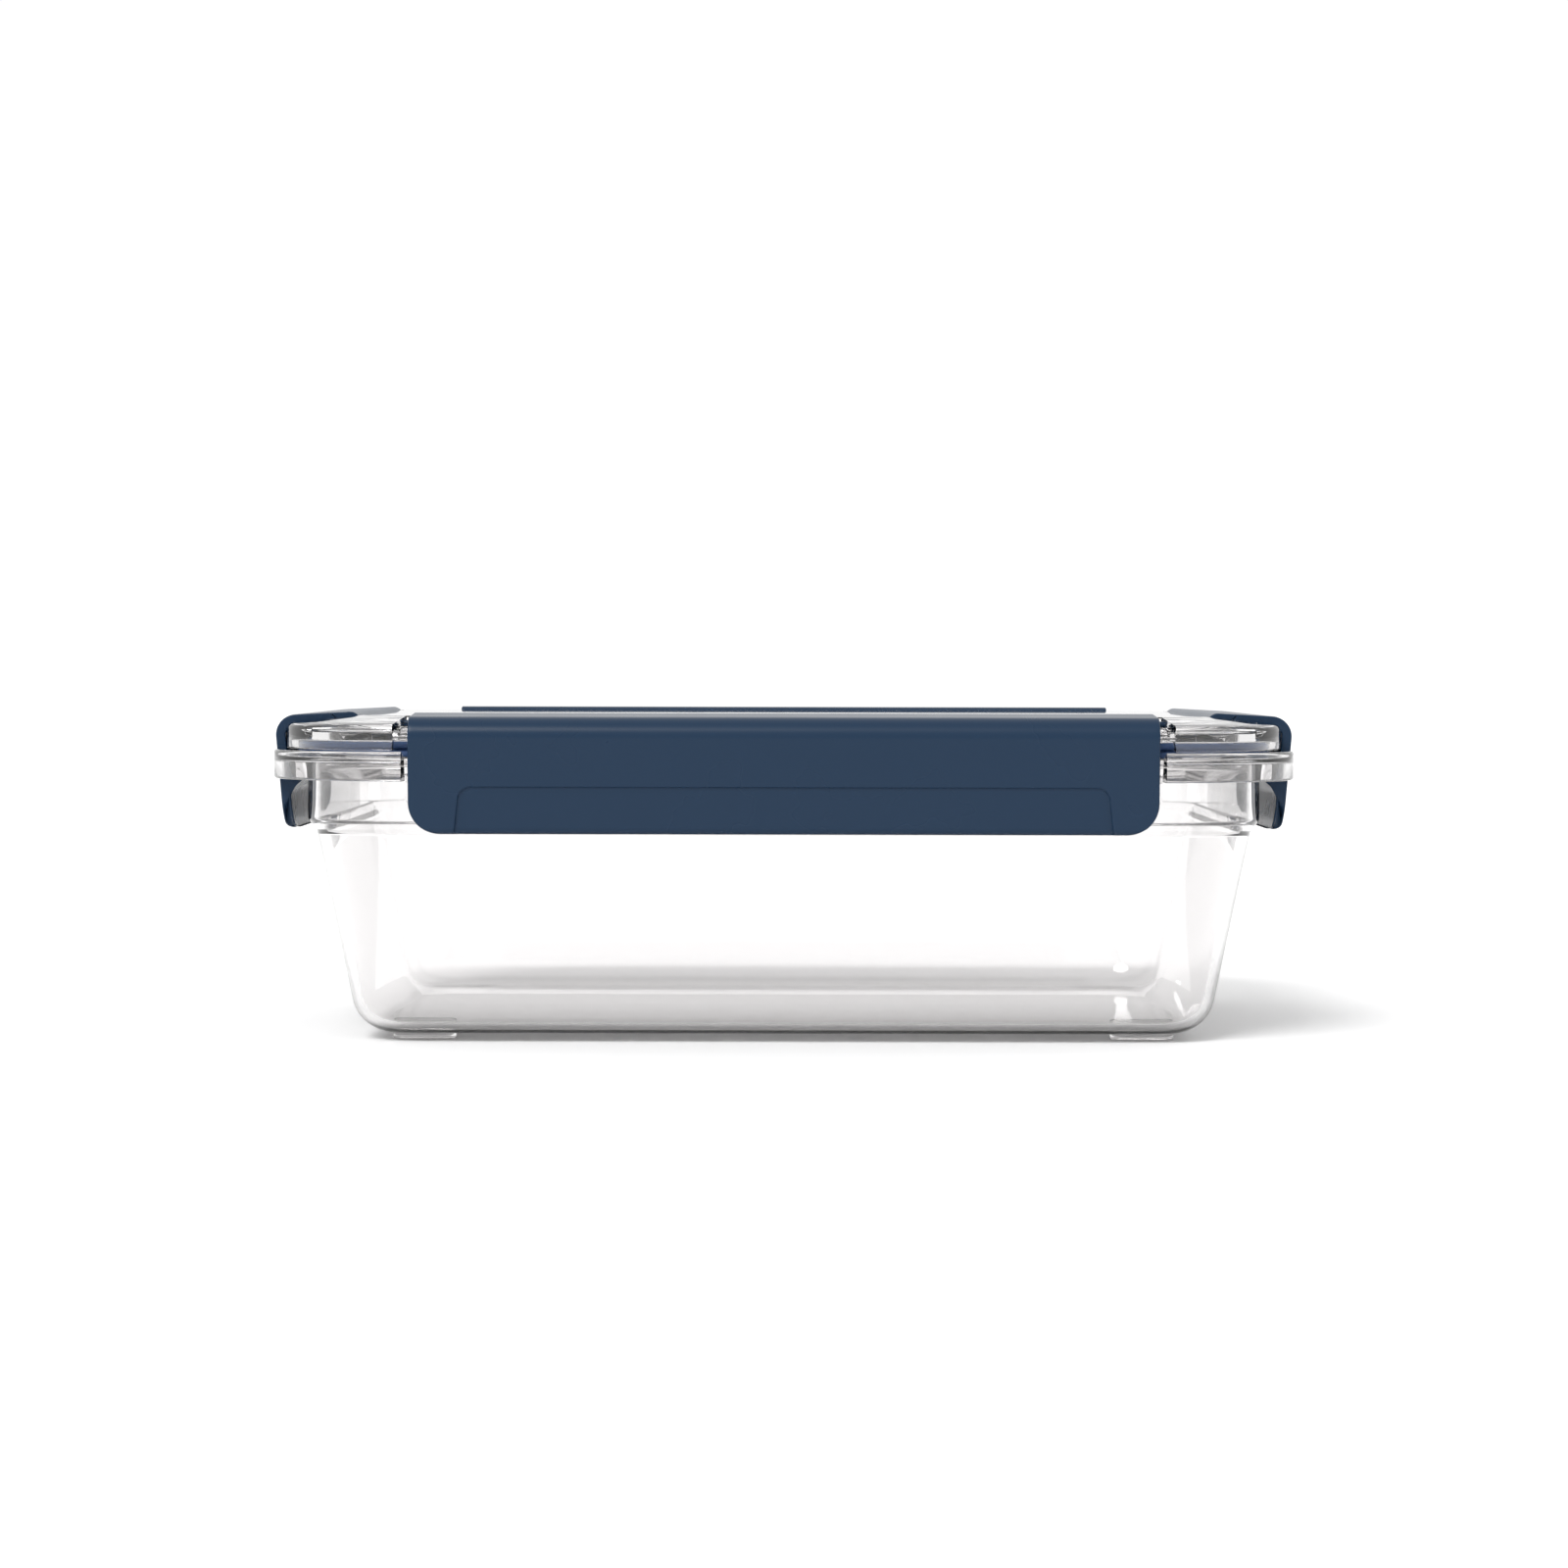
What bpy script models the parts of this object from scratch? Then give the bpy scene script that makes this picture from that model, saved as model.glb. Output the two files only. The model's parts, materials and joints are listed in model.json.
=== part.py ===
"""Snap lid food container: a clear tub, a clear lid, a gasket and four hinged latches.

Metres, +Z up. X is the long side, -Y is the front, and the feet stand on Z = 0.
Plan outlines are rounded rectangles, given as an inset from the rim flange's outer edge.
"""

import math

import bmesh
import bpy

# Overall size
RIM_LENGTH = 0.2508
RIM_WIDTH = 0.1800
RIM_CORNER = 0.0350
RIM_TOP = 0.0713

# Walls and clearances
WALL = 0.0024
TOUCH_GAP = 0.0003
LATCH_TURN_GAP = 0.00035
LATCH_END_GAP = 0.0014
POCKET_END_GAP = 0.0042
LATCH_FACE_GAP = 0.0004
PLUG_GAP = 0.0006
CORNER_STEPS = 10
ARC_STEPS = 6

# Tub
FOOT_HEIGHT = 0.0017
FOOT_LENGTH = 0.0158
FOOT_WIDTH = 0.0040
FOOT_END_INSET = 0.0371
FOOT_SIDE_INSET = 0.0335
BASE_RADIUS = 0.0100
NECK_BELOW_RIM = 0.0201
NECK_INSET = 0.0106
COLLAR_BELOW_RIM = 0.0170
COLLAR_INSET = 0.0084
DRAFT = math.radians(11.7)
FLANGE_DEPTH = 0.0071
LIP_WIDTH = 0.0026
LIP_HEIGHT = 0.0017
SKIRT_WALL = 0.0020
NOTCH_SLOPE = 0.0017

# Lid
LID_FACE_GAP = 0.0010
LID_LIFT_GAP = 0.0002
LID_EDGE_HEIGHT = 0.0063
LID_EDGE_RADIUS = 0.0015
LID_HEIGHT = 0.0083
LID_SLOPE_WIDTH = 0.0182
LID_PLUG_DEPTH = 0.0023
LID_PLUG_WALL = 0.0020
LID_RIM_WALL = 0.0024
POCKET_EDGE_SLOPE = 0.0012

# Gasket
GASKET_HEIGHT = 0.0037
GASKET_WIDTH = 0.0050
GASKET_GROOVE = 0.0014

# Latches, in section: u points out of the container and w points up, from the hinge axis
FRONT_LATCH_LENGTH = 0.1790
SIDE_LATCH_LENGTH = 0.1100
LATCH_WALL = 0.0024
BARREL_RADIUS = 0.0026
LATCH_REACH = 0.0186
LATCH_INSET = 0.0000
LATCH_DROP = 0.0262
LATCH_SLOPE = math.radians(3.0)
LATCH_LEAN = math.radians(5.0)
LATCH_EDGE_RADIUS = 0.0050
LATCH_TIP_RADIUS = 0.0018
LATCH_INNER_TIP_RADIUS = 0.0004
LATCH_CORNER_RADIUS = 0.0075
PIVOT_BELOW_LID_TOP = 0.0018
BEAD_TIP_ANGLE = math.radians(-50.5)
BEAD_HEIGHT = 0.0026
FINGER_TOP = 0.0147
FINGER_DEPTH = 0.0009
FINGER_END_TOP = 0.0120
FINGER_END_LOW = 0.0107
PIN_RADIUS = 0.0008
PIN_HELD = 0.0020
PIN_GAP = 0.0002

# Heights that follow from the above
BASE_BOTTOM = FOOT_HEIGHT
FLANGE_BOTTOM = RIM_TOP - FLANGE_DEPTH
CHANNEL_TOP = RIM_TOP - WALL
RIM_LAND = RIM_TOP - LIP_HEIGHT
NECK_Z = RIM_TOP - NECK_BELOW_RIM
COLLAR_Z = RIM_TOP - COLLAR_BELOW_RIM
LID_BOTTOM = RIM_TOP + LID_LIFT_GAP
LID_TOP = RIM_TOP + LID_HEIGHT
LID_EDGE_Z = RIM_TOP + LID_EDGE_HEIGHT
PIVOT_Z = LID_TOP - PIVOT_BELOW_LID_TOP
GASKET_BOTTOM = RIM_LAND + TOUCH_GAP
GASKET_TOP = GASKET_BOTTOM + GASKET_HEIGHT
GROOVE_TOP = GASKET_TOP + TOUCH_GAP
LID_CEILING_Z = LID_TOP - WALL
PLUG_BOTTOM = RIM_LAND - LID_PLUG_DEPTH

# Insets that follow from the above
LID_INSET = LATCH_INSET + LATCH_WALL + LID_FACE_GAP
PIVOT_INSET = LATCH_INSET + LATCH_REACH
TUB_INNER_INSET = COLLAR_INSET + WALL
PLUG_INSET = TUB_INNER_INSET + PLUG_GAP
GROOVE_OUTER = LID_INSET + LID_RIM_WALL
GASKET_OUTER = GROOVE_OUTER + TOUCH_GAP
GASKET_INNER = GASKET_OUTER + GASKET_WIDTH
GROOVE_INNER = GASKET_INNER + TOUCH_GAP
POCKET_INSET = PIVOT_INSET + BARREL_RADIUS + LATCH_FACE_GAP
CEILING_INSET = POCKET_INSET + WALL
NOTCH_INSET = LATCH_INSET + LATCH_DROP * math.tan(LATCH_LEAN) + LATCH_WALL + LATCH_FACE_GAP

# The latch section and what it turns past, from the hinge axis
NOTCH_U = PIVOT_INSET - NOTCH_INSET
FLANGE_BOTTOM_W = FLANGE_BOTTOM - PIVOT_Z
BEAD_RADIUS = math.hypot(NOTCH_U, FLANGE_BOTTOM_W + NOTCH_SLOPE) + LATCH_TURN_GAP
GROOVE_RADIUS = BARREL_RADIUS + TOUCH_GAP
POCKET_FLOOR_W = -LATCH_REACH * math.tan(LATCH_SLOPE) - 2 * TOUCH_GAP
CUT_OVERRUN = 0.0100

NAVY = (0.010, 0.024, 0.065, 1.0)
NAVY_RUBBER = (0.012, 0.022, 0.050, 1.0)
CLEAR = (0.92, 0.94, 0.95, 1.0)


def clear_scene():
    for item in list(bpy.data.objects):
        bpy.data.objects.remove(item, do_unlink=True)


def material(name, colour, roughness, transmission=0.0):
    made = bpy.data.materials.new(name)
    made.use_nodes = True
    shader = made.node_tree.nodes["Principled BSDF"]
    shader.inputs["Base Color"].default_value = colour
    shader.inputs["Roughness"].default_value = roughness
    shader.inputs["Metallic"].default_value = 0.0
    shader.inputs["Transmission Weight"].default_value = transmission
    return made


def add_object(name, bm, finish=None):
    bmesh.ops.recalc_face_normals(bm, faces=bm.faces)
    mesh = bpy.data.meshes.new(name)
    bm.to_mesh(mesh)
    bm.free()
    made = bpy.data.objects.new(name, mesh)
    bpy.context.scene.collection.objects.link(made)
    if finish:
        mesh.materials.append(finish)
    return made


def hide_cutter(cutter):
    cutter.hide_render = True
    cutter.display_type = "WIRE"


def boolean(target, other, operation):
    step = target.modifiers.new(f"{operation.lower()} {other.name}", "BOOLEAN")
    step.operation = operation
    step.solver = "EXACT"
    step.object = other
    hide_cutter(other)


# Outlines


def plan_ring(inset, z):
    """Points round the plan outline at one inset, counter-clockwise seen from above."""
    radius = RIM_CORNER - inset
    centre_x = RIM_LENGTH / 2 - RIM_CORNER
    centre_y = RIM_WIDTH / 2 - RIM_CORNER
    points = []
    for quarter, (sx, sy) in enumerate([(1, 1), (-1, 1), (-1, -1), (1, -1)]):
        for step in range(CORNER_STEPS + 1):
            angle = math.pi / 2 * (quarter + step / CORNER_STEPS)
            x = sx * centre_x + radius * math.cos(angle)
            y = sy * centre_y + radius * math.sin(angle)
            points.append((x, y, z))
    return points


def arc(centre, radius, start, end, steps=ARC_STEPS):
    """Points on a circle from one angle to another, both ends included."""
    points = []
    for step in range(steps + 1):
        angle = start + (end - start) * step / steps
        points.append((centre[0] + radius * math.cos(angle), centre[1] + radius * math.sin(angle)))
    return points


def round_corners(corners):
    """A polygon's points, with each (u, w, radius) corner replaced by its tangent arc."""
    points = []
    count = len(corners)
    for index, (u, w, radius) in enumerate(corners):
        if radius == 0:
            points.append((u, w))
            continue
        before = corners[index - 1]
        after = corners[(index + 1) % count]
        into = math.atan2(before[1] - w, before[0] - u)
        out = math.atan2(after[1] - w, after[0] - u)
        half = ((out - into + math.pi) % (2 * math.pi) - math.pi) / 2
        reach = radius / abs(math.sin(half))
        centre = (u + reach * math.cos(into + half), w + reach * math.sin(into + half))
        side = math.copysign(math.pi / 2, half)
        sweep = math.copysign(math.pi, half) - 2 * half
        start = into - side
        points += arc(centre, radius, start, start - sweep)
    return points


# Solids from outlines


def loft(name, profile, finish=None, closed=False):
    """A solid whose section, a list of (inset, z), is carried round the plan outline."""
    bm = bmesh.new()
    rings = [[bm.verts.new(point) for point in plan_ring(inset, z)] for inset, z in profile]
    count = len(rings[0])
    pairs = list(zip(rings, rings[1:]))
    if closed:
        pairs.append((rings[-1], rings[0]))
    else:
        bm.faces.new(rings[0])
        bm.faces.new(rings[-1])
    for low, high in pairs:
        for index in range(count):
            after = (index + 1) % count
            bm.faces.new((low[index], low[after], high[after], high[index]))
    return add_object(name, bm, finish)


def extrude(name, outline, place, finish=None):
    """A prism between two copies of an outline; place(u, w, end) puts a point in space."""
    bm = bmesh.new()
    low = [bm.verts.new(place(u, w, 0)) for u, w in outline]
    high = [bm.verts.new(place(u, w, 1)) for u, w in outline]
    bm.faces.new(low)
    bm.faces.new(high)
    for index in range(len(outline)):
        after = (index + 1) % len(outline)
        bm.faces.new((low[index], low[after], high[after], high[index]))
    return add_object(name, bm, finish)


def block(name, low, high):
    x0, y0, z0 = low
    x1, y1, z1 = high
    outline = [(x0, y0), (x1, y0), (x1, y1), (x0, y1)]
    return extrude(name, outline, lambda x, y, end: (x, y, z1 if end else z0))


def rod_along_y(name, radius, length, sides=24):
    outline = arc((0, 0), radius, 0, 2 * math.pi, sides)[:-1]
    return extrude(name, outline, lambda u, w, end: (u, length * (end - 0.5), w))


# Where each latch sits


def sides():
    """Each latch: its name, its length, its turn about +Z and the rim's half size on its side."""
    return [
        ("right_latch", SIDE_LATCH_LENGTH, 0.0, RIM_LENGTH / 2),
        ("back_latch", FRONT_LATCH_LENGTH, math.pi / 2, RIM_WIDTH / 2),
        ("left_latch", SIDE_LATCH_LENGTH, math.pi, RIM_LENGTH / 2),
        ("front_latch", FRONT_LATCH_LENGTH, -math.pi / 2, RIM_WIDTH / 2),
    ]


def put_at_pivot(item, turn, half):
    """Moves a shape made about the hinge axis to its side of the container."""
    reach = half - PIVOT_INSET
    item.location = (reach * math.cos(turn), reach * math.sin(turn), PIVOT_Z)
    item.rotation_euler = (0.0, 0.0, turn)


# Tub


def tub_profile():
    base_outer = NECK_INSET + (NECK_Z - BASE_BOTTOM) * math.tan(DRAFT)
    turn = math.pi / 2 - DRAFT
    centre = (base_outer + BASE_RADIUS * math.tan(turn / 2), BASE_BOTTOM + BASE_RADIUS)
    outside = arc(centre, BASE_RADIUS, -math.pi / 2, -math.pi / 2 - turn)
    outside += [(NECK_INSET, NECK_Z), (COLLAR_INSET, COLLAR_Z), (COLLAR_INSET, CHANNEL_TOP)]
    outside += [(SKIRT_WALL, CHANNEL_TOP), (SKIRT_WALL, FLANGE_BOTTOM), (0.0, FLANGE_BOTTOM)]
    outside += [(0.0, RIM_TOP), (LIP_WIDTH, RIM_TOP), (LIP_WIDTH, RIM_LAND)]
    inside = arc(centre, BASE_RADIUS - WALL, -math.pi / 2, -math.pi / 2 - turn)
    inside += [(NECK_INSET + WALL, NECK_Z), (TUB_INNER_INSET, COLLAR_Z), (TUB_INNER_INSET, RIM_LAND)]
    return outside + inside[::-1]


def notch_cutter(name, length, turn, half):
    """Cuts the flange back behind a latch, and slopes its lower edge along the bead's path."""
    far = PIVOT_INSET + CUT_OVERRUN
    outline = [
        (NOTCH_U, CUT_OVERRUN),
        (NOTCH_U, FLANGE_BOTTOM_W + NOTCH_SLOPE),
        (NOTCH_U - NOTCH_SLOPE - TOUCH_GAP, FLANGE_BOTTOM_W - TOUCH_GAP),
        (far, FLANGE_BOTTOM_W - TOUCH_GAP),
        (far, CUT_OVERRUN),
    ]
    span = length + 2 * LATCH_END_GAP
    cutter = extrude(f"{name}_notch", outline, lambda u, w, end: (u, span * (end - 0.5), w))
    put_at_pivot(cutter, turn, half)
    return cutter


def ledge(name, length, turn, half):
    """The solid part of the flange that a latch's bead hooks under."""
    inner = PIVOT_INSET - COLLAR_INSET - WALL / 2
    outer = PIVOT_INSET - SKIRT_WALL / 2
    top = (CHANNEL_TOP + RIM_LAND) / 2 - PIVOT_Z
    outline = [(inner, FLANGE_BOTTOM_W), (outer, FLANGE_BOTTOM_W), (outer, top), (inner, top)]
    span = length + 2 * LATCH_END_GAP + 2 * SKIRT_WALL
    made = extrude(f"{name}_ledge", outline, lambda u, w, end: (u, span * (end - 0.5), w))
    put_at_pivot(made, turn, half)
    return made


def foot(sx, sy):
    """A short bar with round ends, standing on the ground and rooted in the base."""
    x = sx * (RIM_LENGTH / 2 - FOOT_END_INSET)
    y = sy * (RIM_WIDTH / 2 - FOOT_SIDE_INSET)
    straight = (FOOT_LENGTH - FOOT_WIDTH) / 2
    outline = arc((x + straight, y), FOOT_WIDTH / 2, -math.pi / 2, math.pi / 2)
    outline += arc((x - straight, y), FOOT_WIDTH / 2, math.pi / 2, math.pi * 1.5)
    top = BASE_BOTTOM + WALL / 2
    return extrude(f"foot_{sx}_{sy}", outline, lambda u, w, end: (u, w, top * end))


def make_tub():
    tub = loft("tub", tub_profile(), material("clear tub", CLEAR, 0.03, 0.95))
    for side in sides():
        boolean(tub, ledge(*side), "UNION")
        boolean(tub, notch_cutter(*side), "DIFFERENCE")
    for sx in (-1, 1):
        for sy in (-1, 1):
            boolean(tub, foot(sx, sy), "UNION")
    return tub


# Lid


def lid_profile():
    """From the ceiling under the plateau, round the plug skirt and rim wall, to the top."""
    under = [(CEILING_INSET, LID_CEILING_Z), (CEILING_INSET, GASKET_TOP)]
    under += [(PLUG_INSET + LID_PLUG_WALL, GASKET_TOP), (PLUG_INSET + LID_PLUG_WALL, PLUG_BOTTOM)]
    under += [(PLUG_INSET, PLUG_BOTTOM), (GROOVE_INNER, RIM_LAND), (GROOVE_INNER, GROOVE_TOP)]
    under += [(GROOVE_OUTER, GROOVE_TOP), (GROOVE_OUTER, LID_BOTTOM), (LID_INSET, LID_BOTTOM)]
    centre = (LID_INSET + LID_EDGE_RADIUS, LID_EDGE_Z - LID_EDGE_RADIUS)
    edge = arc(centre, LID_EDGE_RADIUS, math.pi, math.pi / 2, 3)
    return under + edge + [(LID_INSET + LID_SLOPE_WIDTH, LID_TOP)]


def pocket_cutter(name, length, turn, half):
    """The space a latch's hinge leg lies in: a step open to the outside, with a round groove."""
    back = -BARREL_RADIUS - LATCH_FACE_GAP
    edge = PIVOT_INSET - LID_INSET
    groove_end = math.asin(POCKET_FLOOR_W / GROOVE_RADIUS)
    far = PIVOT_INSET + CUT_OVERRUN
    drop = POCKET_EDGE_SLOPE * 2
    outline = [(back, CUT_OVERRUN), (back, 0.0)]
    outline += arc((0, 0), GROOVE_RADIUS, -math.pi, groove_end, 2 * ARC_STEPS)
    outline += [(edge - POCKET_EDGE_SLOPE, POCKET_FLOOR_W)]
    outline += [(edge - POCKET_EDGE_SLOPE + drop, POCKET_FLOOR_W - drop)]
    outline += [(far, POCKET_FLOOR_W - drop), (far, CUT_OVERRUN)]
    span = length + 2 * POCKET_END_GAP
    cutter = extrude(f"{name}_pocket", outline, lambda u, w, end: (u, span * (end - 0.5), w))
    put_at_pivot(cutter, turn, half)
    return cutter


def skirt_cutter(name, length, turn, half):
    """Takes the lid's outer skirt away behind a latch, which leaves the seal open there."""
    inner = PIVOT_INSET - GROOVE_OUTER - GASKET_GROOVE
    far = PIVOT_INSET + CUT_OVERRUN
    low = LID_BOTTOM - TOUCH_GAP - PIVOT_Z
    top = GROOVE_TOP + TOUCH_GAP - PIVOT_Z
    outline = [(inner, low), (far, low), (far, top), (inner, top)]
    span = length + 2 * POCKET_END_GAP
    cutter = extrude(f"{name}_skirt", outline, lambda u, w, end: (u, span * (end - 0.5), w))
    put_at_pivot(cutter, turn, half)
    return cutter


def pin_hole_cutter(name, length, turn, half):
    """The two blind holes that a latch's stub pins turn in."""
    span = length + 2 * (POCKET_END_GAP + PIN_HELD + PIN_GAP)
    cutter = rod_along_y(f"{name}_pin_holes", PIN_RADIUS + PIN_GAP, span)
    put_at_pivot(cutter, turn, half)
    return cutter


def make_lid():
    lid = loft("lid", lid_profile(), material("clear lid", CLEAR, 0.03, 0.95))
    for side in sides():
        boolean(lid, pocket_cutter(*side), "DIFFERENCE")
        boolean(lid, skirt_cutter(*side), "DIFFERENCE")
        boolean(lid, pin_hole_cutter(*side), "DIFFERENCE")
    return lid


# Gasket


def make_gasket():
    """A ring with two lips that face out, split by a shallow groove."""
    middle = (GASKET_BOTTOM + GASKET_TOP) / 2
    half_groove = GASKET_HEIGHT / 8
    groove = GASKET_OUTER + GASKET_GROOVE
    profile = [(GASKET_INNER, GASKET_BOTTOM), (GASKET_OUTER, GASKET_BOTTOM)]
    profile += [(GASKET_OUTER, middle - 2 * half_groove), (groove, middle - half_groove)]
    profile += [(groove, middle + half_groove), (GASKET_OUTER, middle + 2 * half_groove)]
    profile += [(GASKET_OUTER, GASKET_TOP), (GASKET_INNER, GASKET_TOP)]
    return loft("gasket", profile, material("navy rubber", NAVY_RUBBER, 0.5), closed=True)


# Latches


def inner_face_u(w):
    """How far out the latch's inner face is at height w."""
    return LATCH_REACH - LATCH_WALL / math.cos(LATCH_LEAN) + w * math.tan(LATCH_LEAN)


def bead_outline():
    """From the bead's underside round its tip, then along its arc up to the inner face."""
    lean = math.tan(LATCH_LEAN)
    start = inner_face_u(0.0)
    square = 1 + lean * lean
    root = math.sqrt((start * lean) ** 2 - square * (start**2 - BEAD_RADIUS**2))
    meet_w = (-start * lean - root) / square
    meet_angle = math.atan2(meet_w, inner_face_u(meet_w))
    face = arc((0, 0), BEAD_RADIUS, BEAD_TIP_ANGLE, meet_angle)
    low_w = face[0][1] - BEAD_HEIGHT
    return [(inner_face_u(low_w), low_w)] + face


def latch_section():
    slope = math.tan(LATCH_SLOPE)
    lean = math.tan(LATCH_LEAN)
    top_u = (LATCH_REACH + BARREL_RADIUS * lean) / (1 + slope * lean)
    top_w = BARREL_RADIUS - top_u * slope
    under_u = (inner_face_u(0.0) + BARREL_RADIUS * slope * lean) / (1 + slope * lean)
    under_w = (BARREL_RADIUS - under_u) * slope
    low_u = LATCH_REACH - LATCH_DROP * lean
    corners = [(0.0, BARREL_RADIUS, 0), (top_u, top_w, LATCH_EDGE_RADIUS)]
    corners += [(low_u, -LATCH_DROP, LATCH_TIP_RADIUS)]
    corners += [(inner_face_u(-LATCH_DROP), -LATCH_DROP, LATCH_INNER_TIP_RADIUS)]
    corners += [(u, w, 0) for u, w in bead_outline()]
    corners += [(under_u, under_w, LATCH_EDGE_RADIUS - LATCH_WALL), (BARREL_RADIUS, 0.0, 0)]
    barrel = arc((0, 0), BARREL_RADIUS, 0, -math.pi * 1.5, 3 * ARC_STEPS)
    return round_corners(corners) + barrel[1:-1]


def face_outline(length):
    """The latch seen from outside, with its two lower corners rounded."""
    half = length / 2
    low = -LATCH_DROP
    high = BARREL_RADIUS + CUT_OVERRUN
    corners = [(-half, low, LATCH_CORNER_RADIUS), (half, low, LATCH_CORNER_RADIUS)]
    corners += [(half, high, 0), (-half, high, 0)]
    return round_corners(corners)


def finger_cutter(name, length):
    """A wedge that deepens downwards, with ends that splay."""
    lean = math.tan(LATCH_LEAN)
    low = -LATCH_DROP - CUT_OVERRUN
    deepen = FINGER_DEPTH / (LATCH_DROP - FINGER_TOP)
    splay = (FINGER_END_TOP - FINGER_END_LOW) / (LATCH_DROP - FINGER_TOP)
    drop = -FINGER_TOP - low
    half_top = length / 2 - FINGER_END_TOP
    half_low = half_top + splay * drop
    top_u = LATCH_REACH - FINGER_TOP * lean
    low_u = LATCH_REACH + low * lean - deepen * drop
    bm = bmesh.new()
    loops = []
    for half, u, w in ((half_top, top_u, -FINGER_TOP), (half_low, low_u, low)):
        corners = [(u, -half, w), (u + CUT_OVERRUN, -half, w), (u + CUT_OVERRUN, half, w), (u, half, w)]
        loops.append([bm.verts.new(corner) for corner in corners])
    bm.faces.new(loops[0])
    bm.faces.new(loops[1])
    for index in range(4):
        after = (index + 1) % 4
        bm.faces.new((loops[0][index], loops[0][after], loops[1][after], loops[1][index]))
    return add_object(f"{name}_finger", bm)


def make_latch(name, length, turn, half, finish):
    def along(u, w, end):
        return (u, length * (end - 0.5), w)

    def across(y, w, end):
        return ((2 * end - 1) * (LATCH_REACH + CUT_OVERRUN), y, w)

    latch = extrude(name, latch_section(), along, finish)
    shape = extrude(f"{name}_face", face_outline(length), across)
    fingers = finger_cutter(name, length)
    pin = rod_along_y(f"{name}_pin", PIN_RADIUS, length + 2 * (POCKET_END_GAP + PIN_HELD))
    for item in (latch, shape, fingers, pin):
        put_at_pivot(item, turn, half)
    boolean(latch, shape, "INTERSECT")
    boolean(latch, fingers, "DIFFERENCE")
    boolean(latch, pin, "UNION")
    return latch


def make_latches():
    finish = material("navy plastic", NAVY, 0.28)
    return [make_latch(*side, finish) for side in sides()]


def smooth_round_faces(pieces):
    for piece in pieces:
        piece.data.shade_smooth()
        piece.data.set_sharp_from_angle(angle=math.radians(35))


def main():
    clear_scene()
    pieces = [make_tub(), make_lid(), make_gasket()]
    pieces += make_latches()
    smooth_round_faces(pieces)


main()
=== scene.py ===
"""Snap lid food container: its finished surfaces and studio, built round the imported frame."""

import json
import math

import bpy
import numpy as np
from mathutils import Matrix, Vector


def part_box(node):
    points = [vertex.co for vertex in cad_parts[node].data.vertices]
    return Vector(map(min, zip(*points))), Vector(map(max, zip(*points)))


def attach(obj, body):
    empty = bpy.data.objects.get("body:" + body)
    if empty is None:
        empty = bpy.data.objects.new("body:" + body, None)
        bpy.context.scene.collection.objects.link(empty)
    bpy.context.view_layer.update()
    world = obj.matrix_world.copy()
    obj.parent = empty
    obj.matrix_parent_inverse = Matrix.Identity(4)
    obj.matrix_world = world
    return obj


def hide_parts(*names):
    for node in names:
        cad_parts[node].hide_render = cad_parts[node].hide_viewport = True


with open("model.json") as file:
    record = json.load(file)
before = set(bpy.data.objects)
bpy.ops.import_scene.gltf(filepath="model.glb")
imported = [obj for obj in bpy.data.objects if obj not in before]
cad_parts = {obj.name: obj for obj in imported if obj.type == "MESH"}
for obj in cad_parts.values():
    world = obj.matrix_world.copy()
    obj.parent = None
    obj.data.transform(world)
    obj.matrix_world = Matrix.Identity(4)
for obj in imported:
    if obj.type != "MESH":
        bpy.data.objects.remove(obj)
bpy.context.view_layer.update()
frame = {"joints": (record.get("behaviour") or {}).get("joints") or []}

bl_info = {
    "name": "Snap Lid Food Container",
    "version": (1, 0, 0),
    "blender": (4, 5, 0),
    "location": "View3D > Sidebar > Food Container",
    "description": "Builds a clear food container with a clear lid, a seal and four hinged latches",
    "category": "Add Mesh",
}

MM = 0.001
TUB_LOW, TUB_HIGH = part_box("tub")
LID_LOW, LID_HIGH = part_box("lid")
SEAL_LOW, SEAL_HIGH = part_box("gasket")
RIM_TOP = TUB_HIGH[2]
LID_TOP = LID_HIGH[2]
HINGES = {joint["child"]: joint for joint in frame["joints"] if joint["type"] == "hinge"}
LATCHES = ("front_latch", "back_latch", "left_latch", "right_latch")

LATCH_FACE_GAP = 0.4 * MM
BARREL_GAP = 0.3 * MM
LID_LIFT_GAP = 0.2 * MM
RECESS_EDGE = 0.35 * MM
FLOOR_HALF = 6.0
KEY_AIM = (0.45, 0.9, -1.0)
KEY_SPREAD = math.radians(28)


# Sizes and colours that a user would change


def length(name, description, size, unit=MM):
    """A length property whose default is given in millimetres, or in the unit named."""
    return bpy.props.FloatProperty(
        name=name, description=description, default=size * unit, unit="LENGTH"
    )


def degrees(name, description, value):
    """An angle property whose default is given in degrees."""
    return bpy.props.FloatProperty(
        name=name, description=description, default=math.radians(value), subtype="ANGLE"
    )


def scalar(name, description, value):
    """A plain number property."""
    return bpy.props.FloatProperty(name=name, description=description, default=value)


def tint(name, description, value):
    """A colour property, as an sRGB hex value."""
    return bpy.props.StringProperty(name=name, description=description, default=value)


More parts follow.
